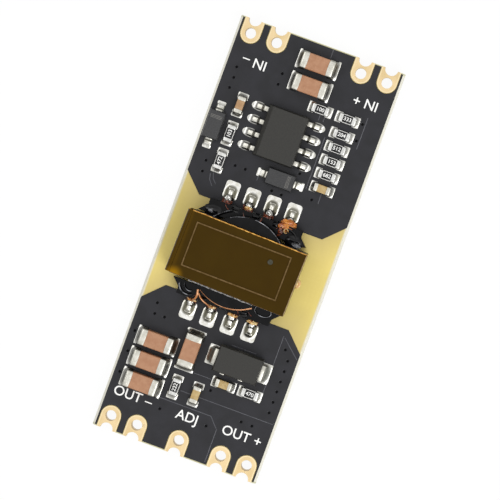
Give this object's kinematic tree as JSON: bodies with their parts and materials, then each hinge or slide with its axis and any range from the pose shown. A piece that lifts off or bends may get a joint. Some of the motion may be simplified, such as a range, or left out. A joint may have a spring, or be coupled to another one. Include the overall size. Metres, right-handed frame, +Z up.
{
  "type": "isolated step-down dc-dc converter module",
  "caption": "Narrow circuit board with castellated gold terminals, surface mounted parts and a taped transformer across its bare isolation gap, stepping a dc voltage down.",
  "frame": {"origin": "middle of the board's footprint, on its underside", "axes": "+X across the board, +Y along the board towards the input terminals, +Z up from the underside to the component side"},
  "size_m": [0.016, 0.04, 0.0072],
  "materials": {
    "laminate": "bare glass-epoxy laminate, pale yellow",
    "solder_mask": "satin black solder mask",
    "gold_plating": "immersion gold over nickel on copper",
    "tin_plating": "matt tin",
    "solder": "bright reflowed solder",
    "large_ceramic": "fired barium titanate, tan brown",
    "small_ceramic": "fired ceramic, beige",
    "alumina": "white alumina",
    "resistor_glass": "black overcoat glass",
    "mould_compound": "black filled epoxy moulding",
    "ferrite": "dark grey ferrite",
    "former_plastic": "black phenolic moulding",
    "winding_wire": "enamelled copper wire",
    "coil_tape": "black polyester tape",
    "core_tape": "amber polyimide tape",
    "resin": "amber fixing resin"
  },
  "bodies": {
    "root": {"adjust_resistor": "alumina", "bottom_solder_mask": "solder_mask", "capacitor_solder": "solder", "circuit_board": "laminate", "clamp_diode_body": "mould_compound", "clamp_diode_leads": "tin_plating", "coil_former": "former_plastic", "coil_tape": "coil_tape", "compensation_capacitor": "small_ceramic", "compensation_resistor": "alumina", "controller_body": "mould_compound", "controller_leads": "tin_plating", "controller_solder": "solder", "core_tape": "core_tape", "damping_resistor": "alumina", "diode_solder": "solder", "enable_resistor": "alumina", "feedback_capacitor": "small_ceramic", "feedback_resistor": "alumina", "frequency_resistor": "alumina", "glue_bead": "resin", "input_capacitor_1": "large_ceramic", "input_capacitor_2": "large_ceramic", "input_capacitor_ends": "tin_plating", "input_resistor": "alumina", "input_terminals": "gold_plating", "interlayer_tape": "core_tape", "lead_out_wire": "winding_wire", "lower_core_half": "ferrite", "output_capacitor_1": "large_ceramic", "output_capacitor_2": "large_ceramic", "output_capacitor_3": "large_ceramic", "output_capacitor_4": "large_ceramic", "output_capacitor_ends": "tin_plating", "output_terminals": "gold_plating", "primary_pins": "tin_plating", "primary_winding": "winding_wire", "rectifier_body": "mould_compound", "rectifier_leads": "tin_plating", "reference_resistor": "alumina", "resistor_covers": "resistor_glass", "resistor_ends": "tin_plating", "resistor_solder": "solder", "secondary_pins": "tin_plating", "secondary_winding": "winding_wire", "small_capacitor_ends": "tin_plating", "snubber_capacitor": "small_ceramic", "snubber_resistor": "alumina", "start_up_resistor": "alumina", "supply_capacitor": "large_ceramic", "supply_diode_body": "mould_compound", "supply_diode_leads": "tin_plating", "top_solder_mask": "solder_mask", "transformer_solder": "solder", "upper_core_half": "ferrite", "winding_ends": "winding_wire"}
  },
  "joints": []
}
